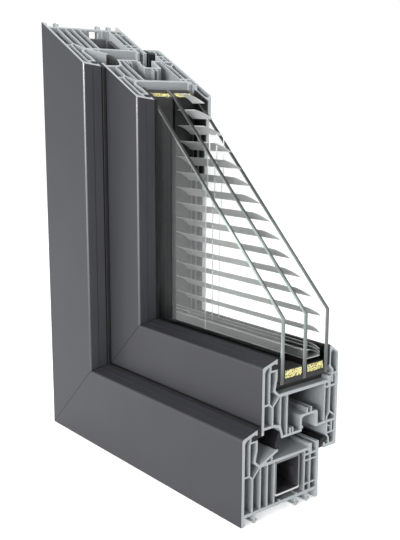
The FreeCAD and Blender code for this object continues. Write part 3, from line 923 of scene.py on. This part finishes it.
def dress_node(name: str, *finishes: Finish) -> bpy.types.Object:
    """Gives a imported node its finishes, in the order of its material slots.

    Args:
        name: The node.
        *finishes: The finishes.

    Returns:
        The node's object.
    """
    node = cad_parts[name]
    node.data.materials.clear()
    for finish in finishes:
        node.data.materials.append(finish.build())
    return node


def new_piece(name: str, mesh: bpy.types.Mesh, replaced: Iterable[str] = ()) -> bpy.types.Object:
    """Adds a piece that rides on the body.

    Args:
        name: The piece's name.
        mesh: Its mesh, in place.
        replaced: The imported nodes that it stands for.

    Returns:
        The piece.
    """
    piece = put_in_scene(name, mesh)
    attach(piece, BODY)
    for node in replaced:
        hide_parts(node)
    log.info("%s has %d faces", name, len(mesh.polygons))
    return piece


class Face(IntEnum):
    """The material slots of a profile."""

    BODY = 0
    CHAMBER = 1
    SAWN = 2
    SKIN = 3
    ARRIS = 4


@dataclass
class Profile:
    """A hollow profile in two lengths, each mitred at the corner and sawn off at its free end."""

    name: str
    weld: int = 6

    def finishes(self, run: Run) -> tuple[Finish, ...]:
        """The finishes of one length, in the order of the slots."""
        return body_plastic(run), shaded_chamber_plastic(run), sawn_plastic(run)

    def dress(self) -> None:
        """Gives both lengths their finishes, face by face."""
        for run in Run:
            node = dress_node(f"{self.name}_{run.value}", *self.finishes(run))
            slots = [Face.SAWN if self.at_free_end(face, run) else self.side_slot(face, run)
                     for face in node.data.polygons]
            for chamber in self.chambers(node.data, slots, run):
                slots[chamber] = Face.CHAMBER
            node.data.polygons.foreach_set("material_index", [int(slot) for slot in slots])
            log.info("%s dressed", node.name)

    def side_slot(self, face: bpy.types.MeshPolygon, run: Run) -> Face:
        """Which slot a face along the length takes, chambers apart."""
        return Face.BODY

    def at_free_end(self, face: bpy.types.MeshPolygon, run: Run) -> bool:
        """Whether a face lies in the free end's cut.

        Args:
            face: The face.
            run: Which way its length runs.

        Returns:
            True on the cut.
        """
        inward = face.center[run.across] - cad_box[0][run.across]
        end = cad_box[1][run.along] - run.slope * inward
        return face.normal.dot(run.cut_normal) >= PARALLEL and face.center[run.along] > end - NEAR

    def chambers(self, mesh: bpy.types.Mesh, slots: list[Face], run: Run) -> list[int]:
        """The faces inside the hollow chambers, which only the end faces join to the outside.

        Args:
            mesh: The profile's mesh.
            slots: Each face's slot so far.
            run: Which way its length runs.

        Returns:
            The faces' numbers.
        """
        sign = 1 if run is Run.RAIL else -1
        mitre = Vector((-sign, 0, sign)).normalized()
        sides = {face.index for face in mesh.polygons
                 if slots[face.index] is not Face.SAWN and face.normal.dot(mitre) < PARALLEL}
        spots, beside = {}, {}
        for index in sides:
            for vertex in mesh.polygons[index].vertices:
                spot = tuple(round(value, self.weld) for value in mesh.vertices[vertex].co)
                spots.setdefault(spot, []).append(index)
                beside.setdefault(index, []).append(spot)
        groups = []
        while sides:
            group, edge = [], [sides.pop()]
            while edge:
                here = edge.pop()
                group.append(here)
                joined = {after for spot in beside[here] for after in spots.pop(spot, [])} & sides
                sides -= joined
                edge.extend(joined)
            groups.append(group)
        outside = max(groups, key=lambda group: self.depth_span(mesh, group))
        return [index for group in groups if group is not outside for index in group]

    def depth_span(self, mesh: bpy.types.Mesh, group: list[int]) -> float:
        """How far a group of faces reaches from outdoors to the room."""
        depths = [mesh.polygons[index].center.y for index in group]
        return max(depths) - min(depths)


@dataclass
class SteelTube(Profile):
    """The folded steel tube in the frame's largest chamber."""

    def finishes(self, run: Run) -> tuple[Finish, ...]:
        """The finishes of one length, in the order of the slots."""
        return STEEL, SHADED_STEEL_INSIDE, SAWN_STEEL


@dataclass
class FlangedProfile(Profile):
    """A frame or sash profile, whose outdoor face and bevel are covered with an anthracite skin."""

    # Below 1 this darkens the skin as painted shade.
    shade: float = 1.0
    bevel_reach: float = 15.0 * MM
    bevel_rise: float = 4.5 * MM
    skin_depth: float = 0.7 * MM
    arris_depth: float = 1.6 * MM
    outdoor_facing: float = 0.99
    arris_facing: float = 0.35
    bevel_facing: float = 0.2

    @cached_property
    def reach(self) -> tuple[float, float]:
        """The outdoor plane's depth, and how far the lip stands from the outer perimeter."""
        low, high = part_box(f"{self.name}_rail")
        return low.y, high.z - cad_box[0].z

    def finishes(self, run: Run) -> tuple[Finish, ...]:
        """The finishes of one length, in the order of the slots."""
        skins = outdoor_foil(self.name, self.shade), foil_arris(self.name, self.shade)
        return *super().finishes(run), *skins

    def side_slot(self, face: bpy.types.MeshPolygon, run: Run) -> Face:
        """Which slot a face along the length takes, chambers apart.

        Args:
            face: The face.
            run: Which way its length runs.

        Returns:
            The slot.
        """
        plane, lip = self.reach
        depth = face.center.y - plane
        reach = face.center[run.across] - cad_box[0][run.across]
        if depth < NEAR and face.normal.y < -self.outdoor_facing:
            return Face.SKIN
        bevel = lip - self.bevel_rise * (1 - depth / self.bevel_reach)
        if depth < self.arris_depth and face.normal.y < -self.arris_facing:
            return Face.ARRIS if reach > bevel - self.arris_depth else Face.SKIN
        on_bevel = depth < self.bevel_reach + NEAR and reach > bevel - self.skin_depth
        outward = max(face.normal[run.across], -face.normal.y) > self.bevel_facing
        return Face.SKIN if on_bevel and outward else Face.BODY


@dataclass
class Glazing:
    """The three panes, with clear faces and ground edges."""

    panes: tuple[str, ...] = ("outdoor_pane", "middle_pane", "room_pane")
    chamfer: float = 0.45 * MM
    face_play: float = 0.02 * MM

    def build(self) -> None:
        """Makes the panes."""
        for name in self.panes:
            self.pane(name)

    def outline(self, name: str) -> list[tuple[float, float]]:
        """A pane's corners in X and Z, in order round it.

        Args:
            name: The pane's node.

        Returns:
            The corners, anticlockwise seen from outdoors.
        """
        corners = {(round(v.co.x, 6), round(v.co.z, 6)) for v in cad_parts[name].data.vertices}
        middle_x = sum(x for x, z in corners) / len(corners)
        middle_z = sum(z for x, z in corners) / len(corners)
        return sorted(corners, key=lambda spot: math.atan2(spot[1] - middle_z, spot[0] - middle_x))

    def inset(self, corners: list[tuple[float, float]], distance: float) -> list[tuple[float, float]]:
        """Moves an outline's sides inwards.

        Args:
            corners: The outline, anticlockwise.
            distance: How far each side moves.

        Returns:
            The smaller outline.
        """
        spots = [Vector(corner) for corner in corners]
        moved = []
        for before, here, after in zip(spots[-1:] + spots[:-1], spots, spots[1:] + spots[:1]):
            sides = (here - before).normalized(), (after - here).normalized()
            first, last = (Vector((-side.y, side.x)) for side in sides)
            moved.append(tuple(here + distance / (1 + first.dot(last)) * (first + last)))
        return moved

    def pane(self, name: str) -> bpy.types.Object:
        """Makes one pane with clear faces and chamfered, ground edges.

        Args:
            name: The pane's node.

        Returns:
            The pane.
        """
        low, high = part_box(name)
        start, end = low.y + self.face_play, high.y - self.face_play
        full = self.outline(name)
        small = self.inset(full, self.chamfer)
        rings = [(small, start), (full, start + self.chamfer), (full, end - self.chamfer), (small, end)]
        shape = bmesh.new()
        loops = [[shape.verts.new((x, y, z)) for x, z in ring] for ring, y in rings]
        shape.faces.new(loops[0])
        shape.faces.new(list(reversed(loops[-1])))
        for near, far in zip(loops, loops[1:]):
            for side in band(shape, near, far):
                side.material_index = 1 if near is loops[1] else 2
        bmesh.ops.recalc_face_normals(shape, faces=shape.faces)
        mesh = finished_mesh(shape, f"{name}_glass", GLASS, GLASS_EDGE, GLASS_ARRIS)
        return new_piece(f"{name}_glass", mesh, [name])


@dataclass
class SpacerLength:
    """One length of spacer: a black shell, open at its free end, where the drying beads show."""

    side: str
    run: Run
    wall: float = 0.35 * MM
    recess: float = 1.7 * MM
    bead_inset: float = 0.45 * MM

    @property
    def node(self) -> str:
        """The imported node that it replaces."""
        return f"{self.side}_spacer_{self.run.value}"

    def spot(self, y: float, across: float, along: float) -> Point:
        """The point with this depth, distance across the length and place along it."""
        return (along, y, across) if self.run is Run.RAIL else (across, y, along)

    def ring(self, inset: float, back: float | None) -> list[Point]:
        """Four corners round the spacer.

        Args:
            inset: How far they stand inside its section.
            back: How far they are from the free end, or None at the mitre.

        Returns:
            The corners in order.
        """
        low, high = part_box(self.node)
        near, far = low[self.run.across] + inset, high[self.run.across] - inset
        outdoors, room = low.y + inset, high.y - inset
        corners = []
        for y, across in ((outdoors, near), (room, near), (room, far), (outdoors, far)):
            mitre = across - cad_box[0][self.run.across] + cad_box[0][self.run.along]
            end = high[self.run.along] - self.run.slope * (across - low[self.run.across])
            corners.append(self.spot(y, across, mitre if back is None else end - back))
        return corners

    def build(self) -> None:
        """Makes the shell with the pocket at its end."""
        shape = bmesh.new()
        places = (0.0, None), (0.0, 0.0), (self.wall, 0.0), (self.wall, self.recess)
        rings = [[shape.verts.new(spot) for spot in self.ring(*place)] for place in places]
        shape.faces.new(rings[0])
        for near, far in zip(rings, rings[1:]):
            band(shape, near, far)
        shape.faces.new(rings[-1]).material_index = 1
        bmesh.ops.recalc_face_normals(shape, faces=shape.faces)
        mesh = finished_mesh(shape, f"{self.node}_shell", spacer_shell(self.side, self.run), BEADS)
        new_piece(f"{self.node}_shell", mesh, [self.node])

    def bed(self) -> list[Vector]:
        """The four corners of the flat bed that the end's beads lie on, in order round its outward side."""
        corners = [Vector(spot) for spot in self.ring(self.wall + self.bead_inset, self.recess)]
        facing = (corners[1] - corners[0]).cross(corners[2] - corners[1])
        return corners if facing.dot(self.run.cut_normal) > 0 else corners[::-1]


@dataclass
class DryingBeads:
    """The beads that fill the spacers, in layers at their open ends."""

    lengths: tuple[SpacerLength, ...]
    spacing: float = 0.82 * MM
    smallest: float = 0.40 * MM
    largest: float = 0.60 * MM
    lifts: tuple[float, ...] = (0.25 * MM, 0.65 * MM, 1.05 * MM)
    density: float = 4.0e6
    segments: int = 8
    rings: int = 5
    size_seed: int = 11
    tone_seed: int = 12

    def build(self) -> None:
        """Strews the beads over the beds and keeps a tone for each."""
        beds = [length.bed() for length in self.lengths]
        carrier = bpy.data.meshes.new("bead_beds")
        carrier.from_pydata([corner for bed in beds for corner in bed], [],
                            [tuple(range(4 * index, 4 * index + 4)) for index in range(len(beds))])
        sizes = {"Spacing": self.spacing, "Smallest": self.smallest, "Largest": self.largest}
        recipe = Recipe("drying_beads", sizes)
        layers = [self.layer(recipe, seed, lift) for seed, lift in enumerate(self.lifts, 1)]
        bead = recipe.step("MeshUVSphere", {"Segments": self.segments, "Rings": self.rings, "Radius": 1.0})
        size = recipe.span(recipe.random(0.0, 1.0, self.size_seed), 0.0, 1.0, recipe.inputs["Smallest"],
                           recipe.inputs["Largest"])
        points = recipe.join(*layers)
        strewn = recipe.step("InstanceOnPoints", {"Points": points, "Instance": bead, "Scale": size})
        tone = recipe.random(0.0, 1.0, self.tone_seed)
        toned = recipe.step("StoreNamedAttribute", {"Geometry": strewn, "Name": BEAD_TONE, "Value": tone},
                            domain="INSTANCE")
        whole = recipe.step("RealizeInstances", {"Geometry": toned})
        smooth = recipe.step("SetShadeSmooth", {"Geometry": whole})
        new_piece("drying_beads", recipe.bake(smooth, BEADS, carrier))

    def layer(self, recipe: Recipe, seed: int, lift: float) -> Socket:
        """One layer of points.

        Args:
            recipe: The tree.
            seed: What fixes the points.
            lift: How high the layer lies over the bed.

        Returns:
            The points.
        """
        strewn = recipe.add("GeometryNodeDistributePointsOnFaces", {
            "Mesh": recipe.inputs["Geometry"], "Distance Min": recipe.inputs["Spacing"],
            "Density Max": self.density, "Seed": seed}, distribute_method="POISSON")
        offset = recipe.add("ShaderNodeVectorMath", {0: strewn.outputs["Normal"], "Scale": lift},
                            operation="SCALE").outputs[0]
        return recipe.step("SetPosition", {"Geometry": strewn.outputs["Points"], "Offset": offset})


@dataclass
class SlattedBlind:
    """The blind in the room-side cavity: crowned slats cut off along the glazing's slant, and their rail."""

    crown: float = 1.0 * MM
    thickness: float = 0.3 * MM
    tilt: float = math.radians(28.0)
    hole_width: float = 1.1 * MM
    strips: int = 15
    hole_strips: int = 3
    droop: float = math.radians(4.5)
    droop_start: Ends = (0.0, 2.0)
    droop_end: Ends = (0.2, 0.9)
    weld: float = 0.01 * MM
    crease: float = math.radians(35.0)

    def build(self) -> None:
        """Makes the slats and dresses the rail and the cords."""
        self.slats()
        dress_node("blind_rail", BLIND_RAIL)
        for name in ("lift_cord", "ladder_cord_front", "ladder_cord_back"):
            dress_node(name, CORD)

    def names(self) -> list[str]:
        """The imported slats, from the bottom up."""
        return sorted(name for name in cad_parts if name.startswith("slat_"))

    def sizes(self) -> dict[str, float]:
        """The tree's inputs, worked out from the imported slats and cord."""
        boxes = [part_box(name) for name in self.names()]
        low, high = boxes[0]
        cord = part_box("lift_cord")
        cord_x = (cord[0].x + cord[1].x) / 2
        cut = [box for box in boxes if box[1].x < high.x - NEAR]
        first, last = cut[0], cut[-1]
        slope = (first[1].x - last[1].x) / (last[0].z - first[0].z)
        return {
            "Count": float(len(boxes)),
            "Width": (high.y - low.y) / math.cos(self.tilt),
            "Crown": self.crown,
            "Thickness": self.thickness,
            "Tilt": -self.tilt,
            "Droop": self.droop,
            "Hole Start": cord_x - self.hole_width / 2 - low.x,
            "Hole End": cord_x + self.hole_width / 2 - low.x,
            "Length": high.x - low.x,
            "End": high.x,
            "Slope": slope,
            "Bend": first[0].z - (high.x - first[1].x) / slope,
        }

    def slats(self) -> None:
        """Makes every slat from one strip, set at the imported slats' outdoor edges."""
        corners = [(low.x, low.y, high.z) for low, high in map(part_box, self.names())]
        carrier = bpy.data.meshes.new("slat_places")
        carrier.from_pydata(corners, [], [])
        recipe = Recipe("blind_slats", self.sizes())
        strip = self.strip(recipe)
        placed = recipe.step("InstanceOnPoints", {"Points": recipe.inputs["Geometry"], "Instance": strip})
        whole = recipe.step("RealizeInstances", {"Geometry": self.hang(recipe, placed)})
        cut = self.cut_ends(recipe, whole)
        sheet = recipe.step("MergeByDistance", {"Geometry": cut, "Distance": self.weld})
        top = recipe.step("ExtrudeMesh", {
            "Mesh": sheet, "Offset Scale": recipe.inputs["Thickness"], "Individual": False})
        both = recipe.join(top, recipe.step("FlipFaces", {"Mesh": sheet}))
        closed = recipe.step("MergeByDistance", {"Geometry": both, "Distance": self.weld})
        mesh = recipe.bake(recipe.step("SetShadeSmooth", {"Geometry": closed}), SLAT, carrier)
        mesh.set_sharp_from_angle(angle=self.crease)
        new_piece("blind_slats", mesh, self.names())

    def strip(self, recipe: Recipe) -> Socket:
        """One tilted, crowned strip with the cord's slot, from its outdoor corner.

        Args:
            recipe: The tree.

        Returns:
            The strip's lower side.
        """
        borders = 0.0, *(recipe.inputs[name] for name in ("Hole Start", "Hole End", "Length"))
        gaps = float(len(borders) - 1)
        grid = recipe.step("MeshGrid", {"Vertices X": len(borders), "Vertices Y": self.strips + 1})
        place = recipe.parts(recipe.step("InputPosition"))
        column, row = place["X"], place["Y"]
        in_slot = recipe.product(*(
            recipe.math("LESS_THAN", recipe.math("ABSOLUTE", value), half)
            for value, half in ((column, 1 / gaps / 2), (row, self.hole_strips / self.strips / 2))))
        slotted = recipe.step("DeleteGeometry", {"Geometry": grid, "Selection": in_slot}, domain="FACE")
        switch = recipe.add("GeometryNodeIndexSwitch", data_type="FLOAT")
        while len(switch.index_switch_items) < len(borders):
            switch.index_switch_items.new()
        number = recipe.math("MULTIPLY_ADD", column, gaps, gaps / 2)
        recipe.feed(switch.inputs[0], recipe.math("ROUND", number))
        for index, border in enumerate(borders, 1):
            recipe.feed(switch.inputs[index], border)
        along = recipe.product(recipe.math("ADD", row, 0.5), recipe.inputs["Width"])
        fall = recipe.product(recipe.product(row, row), 4.0)
        arch = recipe.product(recipe.minus(1.0, fall), recipe.inputs["Crown"])
        lower = recipe.minus(arch, recipe.inputs["Thickness"])
        flat = recipe.vector(switch.outputs[0], along, lower)
        tilted = recipe.add("ShaderNodeVectorRotate", {"Vector": flat, "Angle": recipe.inputs["Tilt"]},
                            rotation_type="X_AXIS").outputs[0]
        return recipe.step("SetPosition", {"Geometry": slotted, "Position": tilted})

    def hang(self, recipe: Recipe, slats: Socket) -> Socket:
        """Tilts the lower slats a little more about their middles, as they hang with less weight under them.

        Args:
            recipe: The tree.
            slats: The strips at their places, as instances.

        Returns:
            The hung slats.
        """
        index = recipe.step("InputIndex")
        height = recipe.math("DIVIDE", index, recipe.minus(recipe.inputs["Count"], 1.0))
        low, high = recipe.span(index, *self.droop_start), recipe.span(height, *self.droop_end, 1.0, 0.0)
        droop = recipe.product(recipe.product(low, high), recipe.product(recipe.inputs["Droop"], -1.0))
        half = recipe.math("DIVIDE", recipe.inputs["Width"], 2.0)
        middle = recipe.vector(0.0, *(
            recipe.product(half, recipe.math(way, recipe.inputs["Tilt"])) for way in ("COSINE", "SINE")))
        return recipe.step("RotateInstances", {
            "Instances": slats, "Rotation": recipe.vector(droop, 0.0, 0.0), "Pivot Point": middle,
            "Local Space": True})

    def cut_ends(self, recipe: Recipe, slats: Socket) -> Socket:
        """Draws every point beyond the slanting line back onto it.

        Args:
            recipe: The tree.
            slats: The slats in place.

        Returns:
            The slats, cut off.
        """
        place = recipe.parts(recipe.step("InputPosition"))
        above = recipe.math("MAXIMUM", recipe.minus(place["Z"], recipe.inputs["Bend"]), 0.0)
        back = recipe.product(above, recipe.inputs["Slope"])
        limit = recipe.minus(recipe.inputs["End"], back)
        moved = recipe.vector(recipe.math("MINIMUM", place["X"], limit), place["Y"], place["Z"])
        return recipe.step("SetPosition", {"Geometry": slats, "Position": moved})


@dataclass
class PhotoCamera:
    """The camera that took the picture, worked out from its vanishing lines."""

    centre: Point = (0.547643, -0.432134, 0.306719)
    yaw: float = 50.340
    pitch: float = -11.307
    roll: float = -0.198
    focal_pixels: float = 824.326
    long_side: int = 540
    sensor: float = 36.0
    nearest: float = 0.01

    def build(self) -> None:
        """Makes the scene's camera."""
        yaw, pitch, roll = (math.radians(angle) for angle in (self.yaw, self.pitch, self.roll))
        forward = Vector((-math.sin(yaw) * math.cos(pitch), math.cos(yaw) * math.cos(pitch), math.sin(pitch)))
        right = Vector((math.cos(yaw), math.sin(yaw), 0.0))
        down = forward.cross(right)
        across = math.cos(roll) * right + math.sin(roll) * down
        under = math.cos(roll) * down - math.sin(roll) * right
        turn = Matrix((across, -under, -forward)).transposed()
        data = bpy.data.cameras.new("photo_camera")
        data.sensor_width = self.sensor
        data.lens = self.focal_pixels * self.sensor / self.long_side
        data.clip_start = self.nearest
        camera = put_in_scene("photo_camera", data)
        camera.matrix_world = Matrix.Translation(self.centre) @ turn.to_4x4()
        bpy.context.scene.camera = camera


@dataclass
class SoftBox:
    """One large soft light."""

    name: str
    place: Point
    aim: Point
    size: tuple[float, float]
    power: float

    def build(self) -> None:
        """Makes the light."""
        data = bpy.data.lights.new(self.name, "AREA")
        data.shape = "RECTANGLE"
        data.size, data.size_y = self.size
        data.energy = self.power
        light = put_in_scene(self.name, data)
        light.location = self.place
        light.rotation_euler = (Vector(self.aim) - Vector(self.place)).to_track_quat("-Z", "Y").to_euler()


@dataclass
class Studio:
    """The pale floor, the bright surroundings and the soft lights."""

    floor_radius: float = 12.0
    backdrop: float = 1.12
    surround: float = 0.5
    backdrop_side: Point = (-0.77, 0.64, 0.0)
    backdrop_reach: float = 0.85
    boxes: tuple[SoftBox, ...] = (
        SoftBox("front_box", (-0.9, -2.6, 1.0), (0.0, 0.0, 0.15), (1.6, 2.2), 24.0),
        SoftBox("arris_box", (0.7, -2.3, 0.7), (0.0, 0.0, 0.3), (1.4, 0.42), 58.0),
        SoftBox("top_box", (-0.2, 0.1, 2.4), (0.0, 0.0, 0.3), (1.6, 1.6), 10.0),
    )

    def build(self) -> None:
        """Makes the floor, the world and the lights."""
        self.floor()
        self.surroundings()
        for box in self.boxes:
            box.build()

    def floor(self) -> None:
        """Makes the floor."""
        shape = bmesh.new()
        bmesh.ops.create_circle(shape, cap_ends=True, segments=96, radius=self.floor_radius)
        floor = put_in_scene("floor", finished_mesh(shape, "floor", FLOOR))
        floor.location.z = cad_box[0].z

    def surroundings(self) -> None:
        """Makes the surroundings white, brightest behind the glass and softer over the cut ends."""
        world = bpy.data.worlds.new("studio")
        world.use_nodes = True
        bpy.context.scene.world = world
        graph = Graph(world.node_tree)
        toward = graph.add("ShaderNodeTexCoord").outputs["Generated"]
        turned = graph.add("ShaderNodeVectorMath", {0: toward, 1: self.backdrop_side},
                           operation="DOT_PRODUCT").outputs["Value"]
        level = graph.span(turned, 0.0, self.backdrop_reach, self.surround, self.backdrop, smooth=True)
        background = world.node_tree.nodes["Background"]
        background.inputs["Color"].default_value = (*WHITE, 1.0)
        graph.feed(background.inputs["Strength"], level)


def main() -> None:
    """Builds the camera, the studio and every sub-assembly in order."""
    bpy.context.scene.view_settings.view_transform = "Standard"
    PhotoCamera().build()
    Studio().build()
    # The sash's darker skin (shade=0.86) is painted shade.
    for profile in (FlangedProfile("frame"), FlangedProfile("sash", shade=0.86), Profile("glazing_bead"),
                    SteelTube("frame_steel")):
        profile.dress()
    dress_node("inner_glass_seal_rail", RUBBER)
    dress_node("inner_glass_seal_upright", RIBBED_RUBBER)
    for run in Run:
        for name, finish in PLAIN_LENGTHS.items():
            dress_node(f"{name}_{run.value}", finish)
    Glazing().build()
    spacers = tuple(SpacerLength(side, run) for side in ("outdoor", "room") for run in Run)
    for spacer in spacers:
        spacer.build()
    DryingBeads(spacers).build()
    SlattedBlind().build()


if __name__ == "__main__":
    main()
